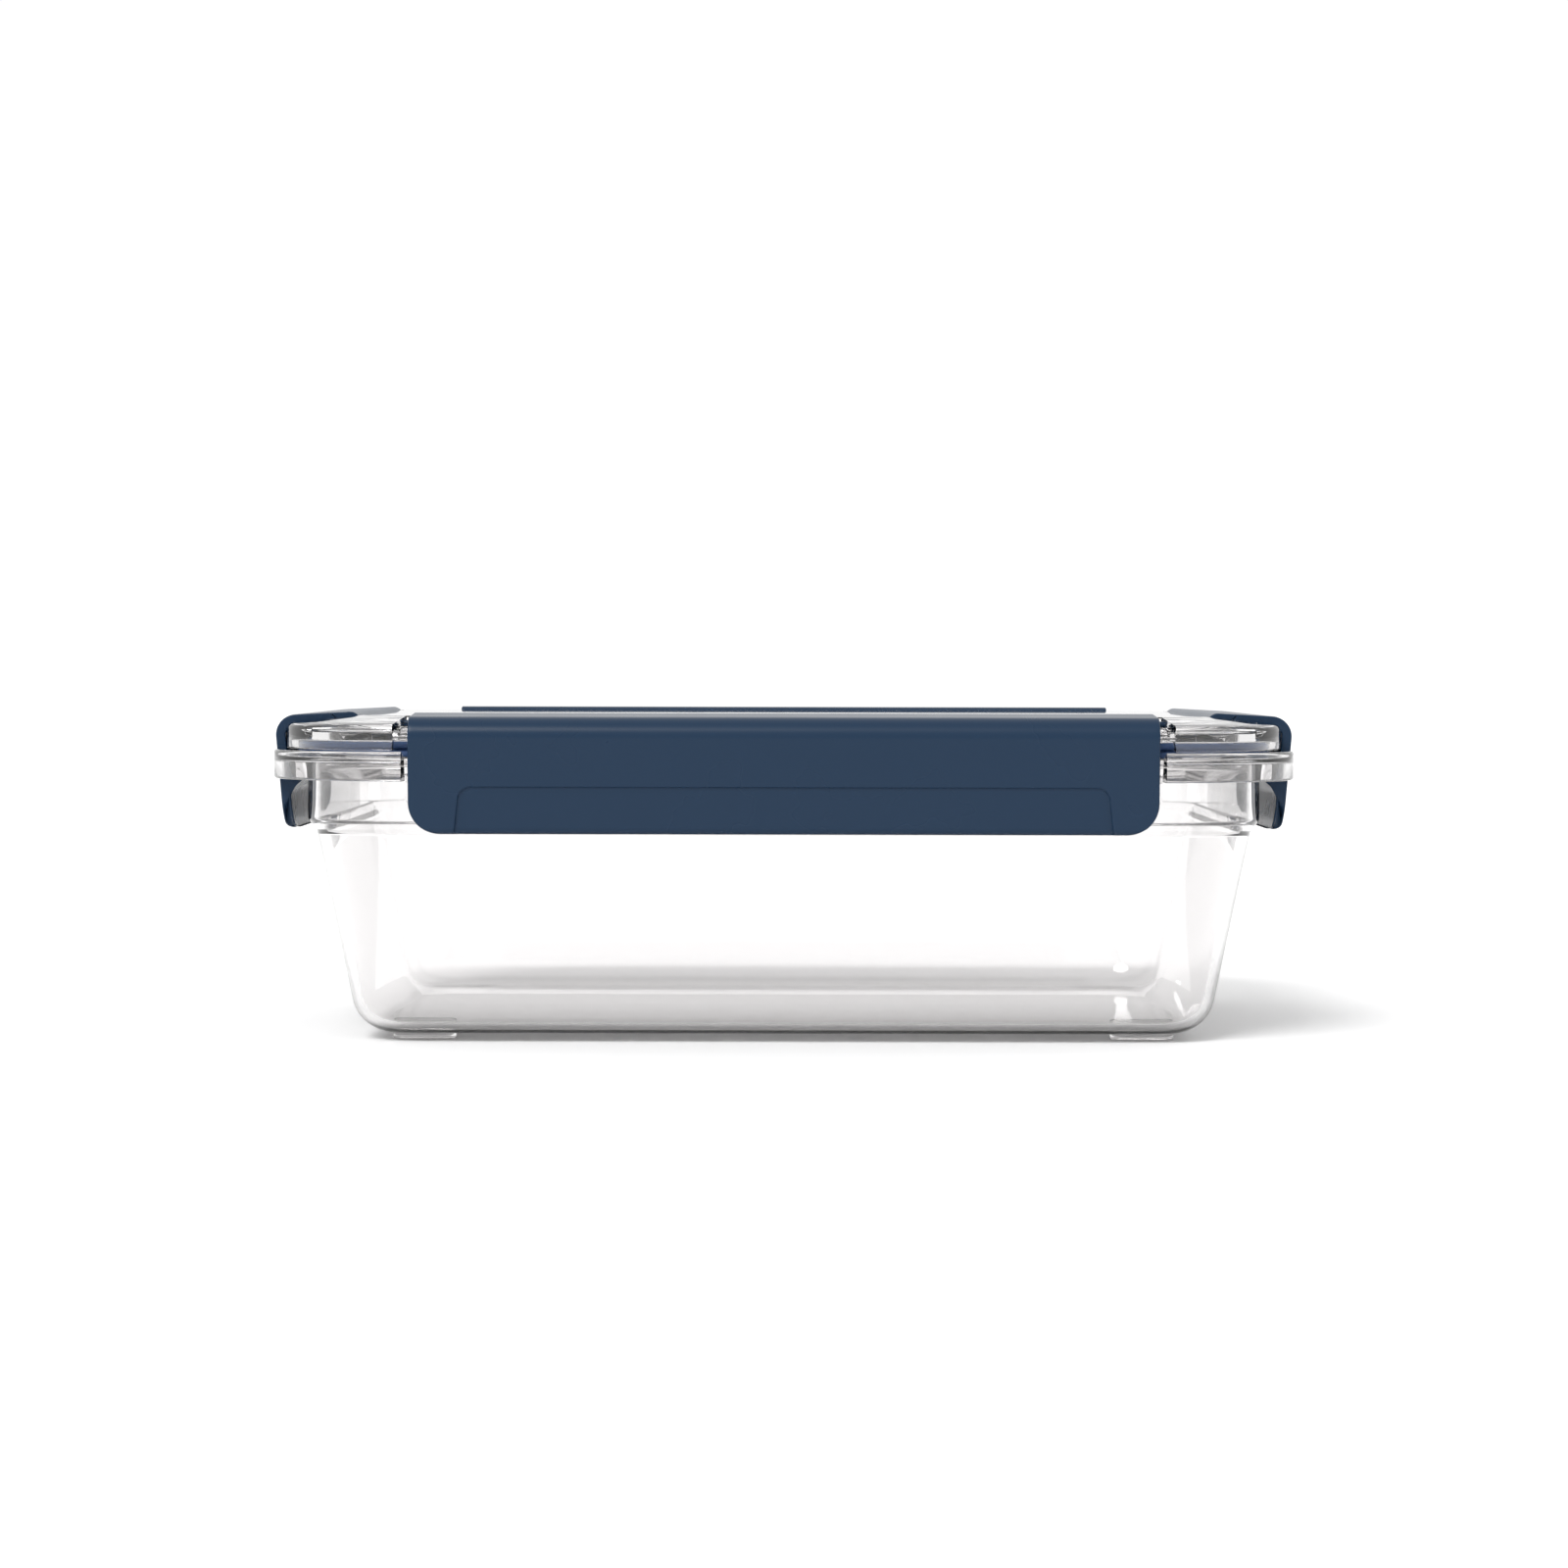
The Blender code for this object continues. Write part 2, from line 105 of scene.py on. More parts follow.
class TubSizes(bpy.types.PropertyGroup):
    """The tub's plan outline and section."""

    rim_length: length("Rim length", "Long side of the rim flange", 250.8)
    rim_width: length("Rim width", "Short side of the rim flange", 180.0)
    rim_corner: length("Rim corner", "Corner radius of the rim flange, seen from above", 35.0)
    wall: length("Wall", "Thickness of the tub's wall and base", 2.4)
    foot_height: length("Foot height", "How far the moulded feet lift the base", 1.7)
    foot_length: length("Foot length", "Long side of a foot", 15.8)
    foot_width: length("Foot width", "Short side of a foot", 4.0)
    foot_end_inset: length("Foot end inset", "From the rim's end in to a foot's middle", 37.1)
    foot_side_inset: length("Foot side inset", "From the rim's side in to a foot's middle", 33.5)
    base_radius: length("Base radius", "Outer radius between the base and the walls", 10.0)
    neck_inset: length("Neck inset", "From the rim's edge in to the wall's top", 10.6)
    neck_drop: length("Neck drop", "From the rim's top down to the wall's top", 20.1)
    collar_inset: length("Collar inset", "From the rim's edge in to the collar", 8.4)
    collar_drop: length("Collar drop", "From the rim's top down to the collar's foot", 17.0)
    flange_depth: length("Flange depth", "Height of the rim flange's edge", 7.1)
    skirt_wall: length("Skirt wall", "Thickness of the flange's outer edge", 2.0)
    lip_width: length("Lip width", "Width of the raised lip round the lid", 2.6)
    lip_height: length("Lip height", "Step from the lip down to the rim's land", 1.7)
    notch_slope: length("Notch slope", "Size of the slope that a latch's bead passes", 1.7)
    draft: degrees("Draft", "Lean of the walls", 11.7)


class LidSizes(bpy.types.PropertyGroup):
    """The lid's section and its seal."""

    inset: length("Lid inset", "From the rim's edge in to the lid's edge", 3.4)
    edge_height: length("Edge height", "From the rim's top up to the lid's edge", 6.3)
    edge_radius: length("Edge radius", "Rounding of the lid's outer edge", 1.5)
    slope_width: length("Slope width", "From the lid's edge in to its flat top", 18.2)
    wall: length("Wall", "Thickness of the lid", 2.4)
    plug_gap: length("Plug gap", "Clearance between the lid's plug and the tub", 0.6)
    plug_wall: length("Plug wall", "Thickness of the plug", 2.0)
    seal_gap: length("Seal gap", "Clearance round the seal", 0.3)
    seal_lip: length("Seal lip", "Radius of each of the seal's two lips", 0.9)


class LatchSizes(bpy.types.PropertyGroup):
    """The latches' section, from the hinge axis, and their outline."""

    wall: length("Wall", "Thickness of a latch", 2.4)
    barrel_radius: length("Barrel radius", "Radius of the hinge barrel", 2.6)
    reach: length("Reach", "From the hinge axis out to the face", 18.6)
    drop: length("Drop", "From the hinge axis down to the lower edge", 26.2)
    edge_radius: length("Edge radius", "Rounding between the top and the face", 5.0)
    tip_radius: length("Tip radius", "Rounding of the lower edge, outside", 1.8)
    inner_tip_radius: length("Inner tip radius", "Rounding of the lower edge, inside", 0.4)
    corner_radius: length("Corner radius", "Rounding of the face's lower corners", 7.5)
    end_radius: length("End radius", "Rounding of the cut ends", 0.35)
    bead_height: length("Bead height", "Height of the bead's underside", 2.6)
    turn_gap: length("Turn gap", "Clearance between the bead and the rim as a latch turns", 0.35)
    end_gap: length("End gap", "From a latch's end to the rim's notch", 1.4)
    pocket_gap: length("Pocket gap", "From a latch's end to its pocket's end", 4.2)
    pin_radius: length("Pin radius", "Radius of the stub pins", 0.8)
    pin_held: length("Pin held", "Length of a pin inside the lid", 2.0)
    finger_top: length("Finger top", "From the hinge axis down to the finger recess", 14.7)
    finger_step: length("Finger step", "Depth of the recess at its upper edge", 0.45)
    finger_depth: length("Finger depth", "Depth of the recess at the lower edge", 0.9)
    finger_end_top: length("Finger end, top", "From the latch's end to the recess, at its top", 12.0)
    finger_end_low: length("Finger end, low", "From the latch's end to the recess, at its foot", 10.7)
    finger_corner: length("Finger corner", "Corner radius of the recess", 3.0)
    slope: degrees("Slope", "Fall of the top, outwards", 3.0)
    lean: degrees("Lean", "Lean of the face, inwards", 5.0)
    tip_angle: degrees("Bead angle", "Where the bead ends, about the hinge", -50.5)


class Colours(bpy.types.PropertyGroup):
    """Surface colours, as sRGB hex values."""

    clear: tint("Clear", "Tint of the tub and lid", "f6f5f5")
    navy: tint("Latch", "Colour of the latches", "1b2f45")
    seal: tint("Seal", "Colour of the seal", "35507c")
    floor: tint("Floor", "Colour of the floor", "fbfbfb")


class StageSizes(bpy.types.PropertyGroup):
    """The camera and the lights."""

    lens: scalar("Lens", "Focal length in millimetres", 91.2)
    distance: length("Distance", "From the container's middle to the camera", 1.033, unit=1.0)
    back_light: scalar("Back light", "Brightness of the studio behind", 1.02)
    front_light: scalar("Front light", "Brightness of the studio in front", 0.75)
    roof_light: scalar("Roof light", "Brightness of the studio overhead", 0.9)
    key_light: scalar("Key light", "Strength of the light from the front left", 2.0)
    eye: length("Eye height", "Height of the camera", 0.0925, unit=1.0)
    pitch: degrees("Pitch", "How far the camera looks down", 1.74)
    roll: degrees("Roll", "Turn of the camera about its own axis", -0.12)


# Mesh building


def turn_corners(corners, steps, closed=False):
    """Rounds a polyline's corners, each given as (a, b, radius).

    With unit vectors p and q from a corner to its neighbours, and h half the angle between them,
    the arc touches both edges at radius / tan(h) from the corner. It is the rational quadratic
    curve through the two touching points, pulled to the corner with weight sin(h), which is an
    exact circle arc. A corner on a straight run spreads its points along the run instead.
    """
    corners = np.asarray(corners, float)
    spot = corners[:, :2]
    radius = np.maximum(corners[:, 2], 0.02 * MM)
    before = np.roll(spot, 1, axis=0) - spot
    after = np.roll(spot, -1, axis=0) - spot
    before /= np.linalg.norm(before, axis=1)[:, None]
    after /= np.linalg.norm(after, axis=1)[:, None]
    cosine = np.clip((before * after).sum(axis=1), -1, 0.9999)
    tangent = np.sqrt((1 - cosine) / (1 + cosine + 1e-9))
    reach = np.maximum(radius / tangent, 0.3 * radius)[:, None]
    weight = np.sqrt((1 - cosine) / 2)[:, None, None]
    t = np.linspace(0, 1, steps)[None, :, None]
    start = (spot + before * reach)[:, None]
    end = (spot + after * reach)[:, None]
    blend = 2 * weight * t * (1 - t)
    points = (1 - t) ** 2 * start + blend * spot[:, None] + t**2 * end
    points /= (1 - t) ** 2 + blend + t**2
    if closed:
        return points.reshape(-1, 2)
    return np.concatenate([spot[:1], points[1:-1].reshape(-1, 2), spot[-1:]])


def grid_faces(rows, columns, wrap):
    """Quads of a grid whose points are numbered row by row; wrap joins the last column to the first."""
    row = np.arange(rows - 1)[:, None] * columns
    column = np.arange(columns if wrap else columns - 1)[None]
    after = (column + 1) % columns
    corners = [row + column, row + after, row + columns + after, row + columns + column]
    return np.stack(corners, -1).reshape(-1, 4)


def capped_faces(rows, columns):
    """Faces of a tube of rings, with a flat cap on the first ring and on the last."""
    ring = np.arange(columns)
    faces = grid_faces(rows, columns, wrap=True).tolist()
    return faces + [ring[::-1].tolist(), (ring + (rows - 1) * columns).tolist()]


def new_piece(name, points, faces, sharp=30.0):
    """A mesh object at the origin from points and faces, smooth apart from edges over an angle."""
    mesh = bpy.data.meshes.new(name)
    mesh.from_pydata(np.asarray(points).reshape(-1, 3), [], faces)
    mesh.validate()
    mesh.shade_smooth()
    mesh.set_sharp_from_angle(angle=math.radians(sharp))
    piece = bpy.data.objects.new(name, mesh)
    bpy.context.scene.collection.objects.link(piece)
    return piece


def finish_piece(piece, body, slot, material, *nodes):
    """Gives a piece its material and its body, and hides the frame nodes it stands for; the slot name
    is not used.
    """
    piece.data.materials.append(material)
    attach(piece, body)
    if nodes:
        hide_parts(*nodes)


# The plan outline


def latch_half_length(name):
    """Half a latch's length without its pins, from the hinge pins' ends in the frame."""
    sizes = bpy.context.scene.latch_sizes
    low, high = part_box(name)
    across = 0 if abs(HINGES[name]["axis"][0]) > 0.5 else 1
    return (high[across] - low[across]) / 2 - sizes.pocket_gap - sizes.pin_held


def plan_path(gap):
    """The plan outline as three arrays: skeleton point, outward normal, and latch share.

    A point at inset d is skeleton + normal * (corner radius - d). The skeleton runs round the
    rectangle of the four corner centres. The latch share is 1 beside a latch, up to the gap past
    its end, and 0 at a corner, and changes over a third of a millimetre.
    """
    tub = bpy.context.scene.tub_sizes
    centre_x = tub.rim_length / 2 - tub.rim_corner
    centre_y = tub.rim_width / 2 - tub.rim_corner
    end_x = math.asin((latch_half_length("front_latch") + gap - centre_x) / tub.rim_corner)
    end_y = math.asin((latch_half_length("right_latch") + gap - centre_y) / tub.rim_corner)
    fade = 0.15 * MM / tub.rim_corner
    quarter = math.pi / 2
    even = np.linspace(0, quarter, 49)[1:-1]
    close = np.array([end_y - fade, end_y + fade, quarter - end_x - fade, quarter - end_x + fade])
    far = np.abs(even[:, None] - close[None]).min(axis=1) > 2 * fade
    angle = np.sort(np.concatenate([[0.0], even[far], close, [quarter]]))
    share = np.clip((end_y + fade - angle) / (2 * fade), 0, 1)
    share = np.maximum(share, np.clip((angle - quarter + end_x + fade) / (2 * fade), 0, 1))
    mirrored = quarter - angle[::-1]
    along_x = np.linspace(1, -1, 33)[1:-1]
    along_y = np.linspace(-1, 1, 21)[1:-1]
    corner = np.ones_like(angle)
    one_x = np.ones_like(along_x)
    one_y = np.ones_like(along_y)
    x = np.concatenate([corner, along_x, -corner, -one_y, -corner, -along_x, corner, one_y])
    y = np.concatenate([corner, one_x, corner, -along_y, -corner, -one_x, -corner, along_y])
    turn = [angle, one_x * quarter, mirrored + quarter, one_y * 2 * quarter]
    turn += [angle + 2 * quarter, one_x * 3 * quarter, mirrored + 3 * quarter, one_y * 0]
    turn = np.concatenate(turn)
    shares = [share, one_x, share[::-1], one_y, share, one_x, share[::-1], one_y]
    skeleton = np.stack([x * centre_x, y * centre_y], -1)
    return skeleton, np.stack([np.cos(turn), np.sin(turn)], -1), np.concatenate(shares)


def carry_round(corner_profile, latch_profile, gap, closed=False):
    """Carries a section round the plan outline.

    The point at profile row (inset d, height z) is skeleton + normal * (corner radius - d) at
    height z, where d and z run from the corner profile to the latch profile by the latch share.
    Returns the points row by row and the faces, with flat caps unless the section is closed.
    """
    skeleton, normal, share = plan_path(gap)
    radius = bpy.context.scene.tub_sizes.rim_corner
    share = share[:, None]
    section = corner_profile[:, None] * (1 - share) + latch_profile[:, None] * share
    flat = skeleton + normal * (radius - section[..., :1])
    points = np.concatenate([flat, section[..., 1:]], -1)
    rows, columns = points.shape[:2]
    if closed:
        faces = grid_faces(rows + 1, columns, wrap=True) % (rows * columns)
        return points, faces.tolist()
    return points, capped_faces(rows, columns)


# Tub


def seat_heights():
    """Heights shared by the tub, the lid and the seal."""
    tub = bpy.context.scene.tub_sizes
    lid = bpy.context.scene.lid_sizes
    land = RIM_TOP - tub.lip_height
    return {
        "land": land,
        "flange_bottom": RIM_TOP - tub.flange_depth,
        "groove_top": SEAL_HIGH[2] + lid.seal_gap,
        "plug_bottom": LID_LOW[2],
        "pivot": HINGES["front_latch"]["pos_m"][2],
    }


def notch_inset():
    """How far the flange is cut back beside a latch: behind the latch's leaning inner face."""
    latch = bpy.context.scene.latch_sizes
    foot = latch.reach - latch.drop * math.tan(latch.lean) - latch.wall - LATCH_FACE_GAP
    return hinge_inset() - foot


def hinge_inset():
    """From the rim's edge in to the hinge axis."""
    return bpy.context.scene.tub_sizes.rim_width / 2 - abs(HINGES["front_latch"]["pos_m"][1])


def tub_sections():
    """The tub's section at a corner and beside a latch, from under the base to inside the floor."""
    t = bpy.context.scene.tub_sizes
    z = seat_heights()
    base = t.foot_height
    neck_z = RIM_TOP - t.neck_drop
    collar_z = RIM_TOP - t.collar_drop
    lean = math.tan(t.draft)
    outer = t.neck_inset + (neck_z - base) * lean
    inner = t.neck_inset + t.wall + (neck_z - base - t.wall) * lean
    notch = notch_inset()
    below = z["flange_bottom"]
    channel = RIM_TOP - t.wall
    flat = outer + 1.2 * t.base_radius
    edge = t.rim_length / 2 - TUB_HIGH[0]
    lower = [(flat, base, 0), (outer, base, t.base_radius), (t.neck_inset, neck_z, 1.2 * MM)]
    lower += [(t.collar_inset, collar_z, 1.0 * MM)]
    inside = t.collar_inset + t.wall
    upper = [(inside, z["land"], 0.6 * MM), (inside, collar_z, 1.0 * MM)]
    upper += [(t.neck_inset + t.wall, neck_z, 1.2 * MM), (inner, base + t.wall, t.base_radius - t.wall)]
    upper += [(flat, base + t.wall, 0)]
    corner = [(t.collar_inset, channel, 0.5 * MM), (t.skirt_wall, channel, 0.5 * MM)]
    corner += [(t.skirt_wall, below, 0.5 * MM), (edge, below, 0.6 * MM), (edge, RIM_TOP, 0.8 * MM)]
    corner += [(t.lip_width, RIM_TOP, 0.6 * MM), (t.lip_width, z["land"], 0.3 * MM)]
    latch = [(t.collar_inset, below, 0.4 * MM), (t.collar_inset - 0.4 * MM, below, 0)]
    latch += [(notch + t.notch_slope, below, 0.3 * MM), (notch, below + t.notch_slope, 0.4 * MM)]
    latch += [(notch, z["land"], 0.5 * MM), (notch + 1.0 * MM, z["land"], 0)]
    latch += [(notch + 2.0 * MM, z["land"], 0)]
    return turn_corners(lower + corner + upper, 8), turn_corners(lower + latch + upper, 8)


def foot_bar(sx, sy, root):
    """A moulded foot in one quarter of the base: a stadium outline, rooted in the base.

    The outline is a half circle at each end of a straight run. It shrinks by r (1 - cos) as the
    lower edge rounds through a quarter circle of radius r.
    """
    t = bpy.context.scene.tub_sizes
    x = sx * (t.rim_length / 2 - t.foot_end_inset)
    y = sy * (t.rim_width / 2 - t.foot_side_inset)
    width = t.foot_width
    turn = np.linspace(-math.pi / 2, 1.5 * math.pi, 57)[:-1]
    side = np.where(np.cos(turn) > 1e-9, 1.0, -1.0)
    edge = 0.7 * MM
    swing = np.linspace(0, math.pi / 2, 6)
    grow = np.concatenate([width / 2 - edge + edge * np.sin(swing), [width / 2]])
    level = np.concatenate([edge - edge * np.cos(swing), [t.foot_height + root]])
    straight = (t.foot_length - width) / 2
    px = x + side * straight + grow[:, None] * np.cos(turn)
    py = y + grow[:, None] * np.sin(turn)
    points = np.stack([px, py, level[:, None] + 0 * px], -1)
    return points.reshape(-1, 3), capped_faces(*px.shape)


def join_shapes(shapes):
    """One point array and face list from several, with each shape's numbers moved up."""
    points = np.concatenate([np.asarray(p).reshape(-1, 3) for p, _ in shapes])
    starts = np.cumsum([0] + [np.asarray(p).reshape(-1, 3).shape[0] for p, _ in shapes[:-1]])
    faces = []
    for start, (_, some) in zip(starts.tolist(), shapes):
        faces += [[number + start for number in face] for face in some]
    return points, faces


# Latches


def latch_paths():
    """The latch section as two paths of equal length, outer and inner, from the hinge barrel.

    Both start at the barrel's back and meet at the tip. u points out of the container and w up,
    from the hinge axis.
    """
    s = bpy.context.scene.latch_sizes
    t = bpy.context.scene.tub_sizes
    slope = math.tan(s.slope)
    lean = math.tan(s.lean)
    r = s.barrel_radius
    inner = s.reach - s.wall / math.cos(s.lean)
    top_u = (s.reach + r * lean) / (1 + slope * lean)
    under_u = (inner + r * slope * lean) / (1 + slope * lean)
    foot_u = s.reach - s.drop * lean
    inner_foot = inner - s.drop * lean
    below = RIM_TOP - t.flange_depth - seat_heights()["pivot"]
    notch_u = hinge_inset() - notch_inset()
    bead = math.hypot(notch_u, below + t.notch_slope) + s.turn_gap
    square = 1 + lean * lean
    root = math.sqrt((inner * lean) ** 2 - square * (inner**2 - bead**2))
    meet_w = (-inner * lean - root) / square
    meet = math.atan2(meet_w, inner + meet_w * lean)
    sweep = np.linspace(meet, s.tip_angle, 12)
    bead_arc = bead * np.stack([np.cos(sweep), np.sin(sweep)], -1)
    low_w = bead_arc[-1, 1] - s.bead_height
    middle = inner_foot + s.inner_tip_radius * 1.2
    back = np.linspace(math.pi, math.pi / 2, 12)
    outer = [(0, r, 0), (top_u, r - top_u * slope, s.edge_radius), (foot_u, -s.drop, s.tip_radius)]
    outer += [(middle, -s.drop, 0)]
    barrel_top = r * np.stack([np.cos(back), np.sin(back)], -1)[:-1]
    outside = np.concatenate([barrel_top, turn_corners(outer, 16)])
    round_under = np.linspace(-math.pi, 0, 24)
    barrel_low = r * np.stack([np.cos(round_under), np.sin(round_under)], -1)
    corner = [(r, 0, 0), (under_u, (r - under_u) * slope, s.edge_radius - s.wall), (*bead_arc[0], 0)]
    upper = np.concatenate([barrel_low[:-1], turn_corners(corner, 16)[:-1], bead_arc[:-1]])
    tip = bead_arc[-1]
    lower = [(*bead_arc[-2], 0), (*tip, 0.35 * MM), (inner + low_w * lean, low_w, 2.0 * MM)]
    lower += [(inner_foot, -s.drop, s.inner_tip_radius), (middle, -s.drop, 0)]
    inside = np.concatenate([upper, turn_corners(lower, 12)[1:]])
    return match_paths(outside, inside, low_w)


def match_paths(outside, inside, low_w):
    """Gives both paths the same number of points on the leg, down to the bead's foot, and below it."""
    counts = (80, 90, 70)
    paths = []
    for path in (outside, inside):
        step = np.hypot(*np.diff(path, axis=0).T)
        along = np.concatenate([[0.0], np.cumsum(step)])
        turn_at = along[np.argmax(path[:, 0])]
        past = (along > turn_at) & (path[:, 1] < low_w)
        foot_at = along[np.argmax(past)]
        stops = (0.0, turn_at, foot_at, along[-1])
        where = [np.linspace(a, b, n, endpoint=False) for a, b, n in zip(stops, stops[1:], counts)]
        where = np.concatenate(where + [[along[-1]]])
        paths.append(np.stack([np.interp(where, along, path[:, k]) for k in (0, 1)], -1))
    return paths


def finger_recess(y, w, half):
    """Depth of the finger recess at (y, w), on a latch of that half length.

    The recess is the region below its top line and between two ends that splay downwards, with
    rounded upper corners. Its depth steps in at the edge and then grows with distance below it.
    """
    s = bpy.context.scene.latch_sizes
    tall = s.drop - s.finger_top
    splay = (s.finger_end_top - s.finger_end_low) / tall
    down = -s.finger_top - w
    side = half - s.finger_end_top + splay * down - np.abs(y)
    side = side / math.hypot(1, splay)
    r = s.finger_corner
    inside = r - np.hypot(np.maximum(r - down, 0), np.maximum(r - side, 0))
    inside = np.where((down > r) | (side > r), np.minimum(down, side), inside)
    edge = np.clip(inside / RECESS_EDGE, 0, 1)
    edge = edge * edge * (3 - 2 * edge)
    ramp = np.clip(down / tall, 0, 1)
    return edge * (s.finger_step + (s.finger_depth - s.finger_step) * ramp)


def latch_shape(half):
    """A latch about its hinge axis: points (u, y, w) and faces.

    Each section point (u, w) runs along y from -h to h, where h is the half length, less what the
    face's round lower corners take: R - sqrt(R^2 - (R - height)^2) within R of the lower edge. The
    last rings shrink the section by r (1 - cos) to round the cut ends.
    """
    s = bpy.context.scene.latch_sizes
    outside, inside = latch_paths()
    count = len(outside)
    loop = np.concatenate([outside, inside[-2:0:-1]])
    tangent = np.roll(loop, -1, axis=0) - np.roll(loop, 1, axis=0)
    tangent /= np.linalg.norm(tangent, axis=1)[:, None]
    inward = np.stack([tangent[:, 1], -tangent[:, 0]], -1)
    swing = np.linspace(0, math.pi / 2, 6)[1:]
    height = np.clip(loop[:, 1] + s.drop, 0, s.corner_radius)
    cut = s.corner_radius - np.sqrt(s.corner_radius**2 - (s.corner_radius - height) ** 2)
    reach = half - s.end_radius - cut
    down = np.clip(-s.finger_top - loop[:, 1], 0, None)
    splay = (s.finger_end_top - s.finger_end_low) / (s.drop - s.finger_top)
    leg = half - s.finger_end_top + splay * down
    band = 2.8 * MM
    part = np.linspace(0, 1, 31)[:, None]
    middle = part * (leg - s.finger_corner - band)
    span = s.finger_corner + 2 * band
    beside = leg - s.finger_corner - band + np.linspace(0, 1, 49)[1:, None] * span
    ends = leg + band + np.linspace(0, 1, 13)[1:, None] * (reach - leg - band)
    right = np.concatenate([middle, beside, ends])
    across = np.concatenate([-right[:0:-1], right])
    shrink = s.end_radius * (1 - np.cos(swing))
    extend = s.end_radius * np.sin(swing)
    across = np.concatenate([-(reach + extend[::-1, None]), across, reach + extend[:, None]])
    pull = np.concatenate([shrink[::-1], np.zeros(2 * len(right) - 1), shrink])[:, None]
    u = loop[:, 0] + inward[:, 0] * pull
    w = loop[:, 1] + inward[:, 1] * pull
    face = (np.arange(len(loop)) < count) & (loop[:, 1] < -s.edge_radius)
    depth = finger_recess(across, w, half) * face
    u = u - depth * math.cos(s.lean)
    points = np.stack([u, across, w], -1)
    rows, columns = u.shape
    faces = grid_faces(rows, columns, wrap=True)[:, ::-1].tolist()
    a = np.arange(count)
    b = np.concatenate([[0], columns - np.arange(1, count - 1), [count - 1]])
    strip = np.stack([a[:-1], a[1:], b[1:], b[:-1]], -1)
    last = strip + (rows - 1) * columns
    for caps in (strip, last[:, ::-1]):
        faces += [[n for k, n in enumerate(cap) if n != cap[k - 1]] for cap in caps.tolist()]
    return points.reshape(-1, 3), faces


def pin_shape(half, sign):
    """A stub pin on the hinge axis: a circle of radius r carried along y, with a rounded end."""
    s = bpy.context.scene.latch_sizes
    edge = 0.3 * MM
    swing = np.linspace(0, math.pi / 2, 6)
    end = half + s.pocket_gap + s.pin_held
    along = np.concatenate([[half - 1.5 * MM], end - edge + edge * np.sin(swing)])
    radius = np.concatenate([[s.pin_radius], s.pin_radius - edge + edge * np.cos(swing)])
    turn = np.linspace(0, 2 * math.pi, 33)[:-1]
    u = radius[:, None] * np.cos(turn)
    w = sign * radius[:, None] * np.sin(turn)
    points = np.stack([u, sign * along[:, None] + 0 * u, w], -1)
    return points.reshape(-1, 3), [face[::-1] for face in capped_faces(*u.shape)]


def place_latch(name, points):
    """Turns points (u, y, w) about the hinge to the latch's side and moves them to its axis."""
    pivot = np.asarray(HINGES[name]["pos_m"], float)
    out = pivot[:2] / np.linalg.norm(pivot[:2])
    x = pivot[0] + points[:, 0] * out[0] - points[:, 1] * out[1]
    y = pivot[1] + points[:, 0] * out[1] + points[:, 1] * out[0]
    return np.stack([x, y, pivot[2] + points[:, 2]], -1)


# Lid and seal


def lid_sections():
    """The lid's section at a corner and at a latch pocket, from its ceiling round to its top."""
    t = bpy.context.scene.tub_sizes
    d = bpy.context.scene.lid_sizes
    s = bpy.context.scene.latch_sizes
    z = seat_heights()
    groove_top = z["groove_top"]
    seal_top = SEAL_HIGH[2]
    plug_out = t.collar_inset + t.wall + d.plug_gap
    plug_in = plug_out + d.plug_wall
    groove_out = t.rim_length / 2 - SEAL_HIGH[0] - d.seal_gap
    bottom = RIM_TOP + LID_LIFT_GAP
    edge_z = RIM_TOP + d.edge_height
    hinge = hinge_inset()
    wall_in = hinge + s.barrel_radius + LATCH_FACE_GAP
    ceiling = wall_in + d.wall
    groove = s.barrel_radius + BARREL_GAP
    floor = z["pivot"] - s.reach * math.tan(s.slope) - 0.6 * MM
    top_in = d.inset + d.slope_width

    def slope_z(inset):
        share = (inset - d.inset) / (top_in - d.inset)
        return edge_z + (LID_TOP - edge_z) * share

    plug = [(plug_in, z["plug_bottom"], 0.7 * MM), (plug_out, z["plug_bottom"], 0.7 * MM)]
    plug += [(plug_out, groove_top, 0.3 * MM), (groove_out, groove_top, 0.3 * MM)]
    corner = [(ceiling + 3 * MM, LID_TOP - d.wall, 0), (top_in, LID_TOP - d.wall, 1.5 * MM)]
    corner += [(top_in - 3 * MM, slope_z(top_in - 3 * MM) - d.wall, 0)]
    corner += [(plug_in, slope_z(plug_in) - d.wall, 1.2 * MM)] + plug
    corner += [(d.inset + d.wall, bottom, 0.5 * MM), (d.inset, bottom, 0.5 * MM)]
    corner += [(d.inset, edge_z, d.edge_radius)]
    steps = np.linspace(d.inset + 3.5 * MM, top_in - 3 * MM, 4)
    corner += [(inset, slope_z(inset), 0) for inset in steps]
    corner += [(top_in, LID_TOP, 2.5 * MM), (ceiling + 3 * MM, LID_TOP, 0)]
    pocket = [(ceiling + 3 * MM, LID_TOP - d.wall, 0), (ceiling, LID_TOP - d.wall, 0.8 * MM)]
    pocket += [(ceiling, seal_top, 0.8 * MM), (plug_in, seal_top, 0.8 * MM)] + plug
    pocket += [(groove_out - 0.8 * MM, groove_top, 0), (d.inset, groove_top, 0.5 * MM)]
    pocket += [(d.inset, floor - 1.2 * MM, 0.4 * MM), (d.inset + 1.2 * MM, floor, 0.4 * MM)]
    pocket += [(hinge - groove, floor, 0.3 * MM), (hinge - groove, z["pivot"] - groove, 0.9 * MM)]
    pocket += [(wall_in, z["pivot"] - groove, 2.4 * MM), (wall_in, LID_TOP, 0.4 * MM)]
    pocket += [(ceiling + 3 * MM, LID_TOP, 0)]
    return turn_corners(corner, 7), turn_corners(pocket, 7)


